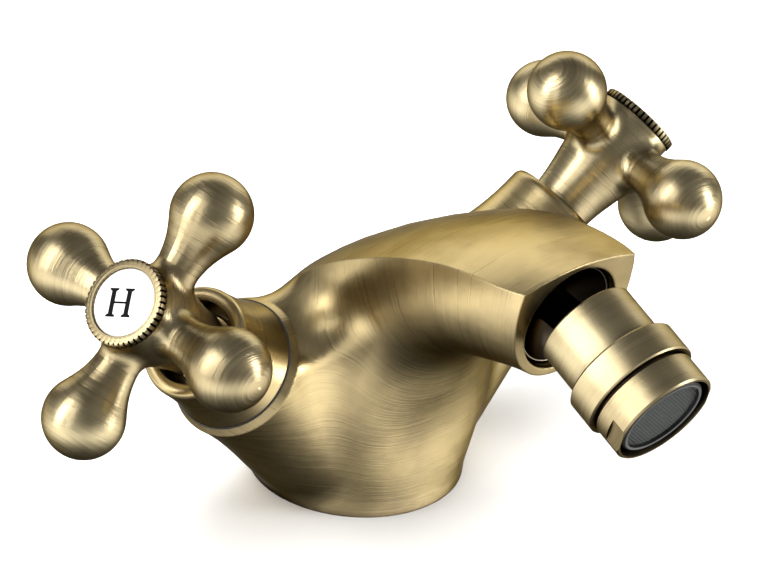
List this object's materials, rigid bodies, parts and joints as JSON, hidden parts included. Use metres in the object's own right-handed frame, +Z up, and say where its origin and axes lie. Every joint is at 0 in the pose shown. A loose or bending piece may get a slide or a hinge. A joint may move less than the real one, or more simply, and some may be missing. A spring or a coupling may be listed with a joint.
{
  "type": "cross handle tap",
  "caption": "Single-hole mixer tap with a curved cast spout, two inclined cross handles with index buttons, and a ball-jointed aerator outlet.",
  "frame": {"origin": "centre of the round foot on the deck", "axes": "+Z up, -Y along the spout towards the basin, -X the hot side, +X the cold side"},
  "size_m": [0.1754, 0.12, 0.0861],
  "materials": {
    "body_brass": "brushed antique brass",
    "handle_brass": "brushed antique brass",
    "outlet_brass": "turned antique brass",
    "bezel_brass": "dark antique brass",
    "dark_polished_brass": "dark polished",
    "spindle_brass": "machined",
    "plated_screw": "plated",
    "white_enamel": "gloss white",
    "ceramic": "lapped ceramic",
    "bearing_plastic": "matte acetal",
    "grey_plastic": "matte grey",
    "steel_mesh": "woven",
    "dark_rubber": "matte black"
  },
  "bodies": {
    "body": {"body_casting": "body_brass", "foot_seal": "dark_rubber", "ball_stud": "dark_polished_brass", "stud_seal": "dark_rubber", "hot_gland": "spindle_brass", "hot_gland_washer": "dark_rubber", "hot_fixed_plate": "ceramic", "hot_seat_ring": "dark_rubber", "hot_shroud": "handle_brass", "cold_gland": "spindle_brass", "cold_gland_washer": "dark_rubber", "cold_fixed_plate": "ceramic", "cold_seat_ring": "dark_rubber", "cold_shroud": "handle_brass"},
    "hot_handle_set": {"hot_handle": "handle_brass", "hot_index_bezel": "bezel_brass", "hot_index_disc": "white_enamel", "hot_handle_screw": "plated_screw", "hot_spindle": "spindle_brass", "hot_spindle_seals": "dark_rubber", "hot_spindle_clip": "plated_screw", "hot_turning_plate": "ceramic"},
    "cold_handle_set": {"cold_handle": "handle_brass", "cold_index_bezel": "bezel_brass", "cold_index_disc": "white_enamel", "cold_handle_screw": "plated_screw", "cold_spindle": "spindle_brass", "cold_spindle_seals": "dark_rubber", "cold_spindle_clip": "plated_screw", "cold_turning_plate": "ceramic"},
    "bush": {"ball_bush": "bearing_plastic"},
    "outlet": {"swivel_sleeve": "outlet_brass", "ball_seal": "dark_rubber", "seal_retainer": "bearing_plastic", "aerator_washer": "dark_rubber", "aerator_collar": "outlet_brass", "aerator_insert": "grey_plastic", "aerator_mesh": "steel_mesh"}
  },
  "joints": [
    {"name": "hot_handle_turn", "type": "hinge", "parent": "body", "child": "hot_handle_set", "pos_m": [-0.04567, -0.0032, 0.04407], "axis": [-0.7611, -0.0867, 0.6428], "range_deg": [0, 90]},
    {"name": "cold_handle_turn", "type": "hinge", "parent": "body", "child": "cold_handle_set", "pos_m": [0.04567, -0.0032, 0.04407], "axis": [0.7611, -0.0867, 0.6428], "range_deg": [-90, 0]},
    {"name": "outlet_yaw", "type": "hinge", "parent": "body", "child": "bush", "pos_m": [0, -0.07101, 0.06283], "axis": [0, -0.1478, 0.989], "range_deg": [-14, 14]},
    {"name": "outlet_pitch", "type": "hinge", "parent": "bush", "child": "outlet", "pos_m": [0, -0.07101, 0.06283], "axis": [1, 0, 0], "range_deg": [-31.1, 2.8]}
  ]
}
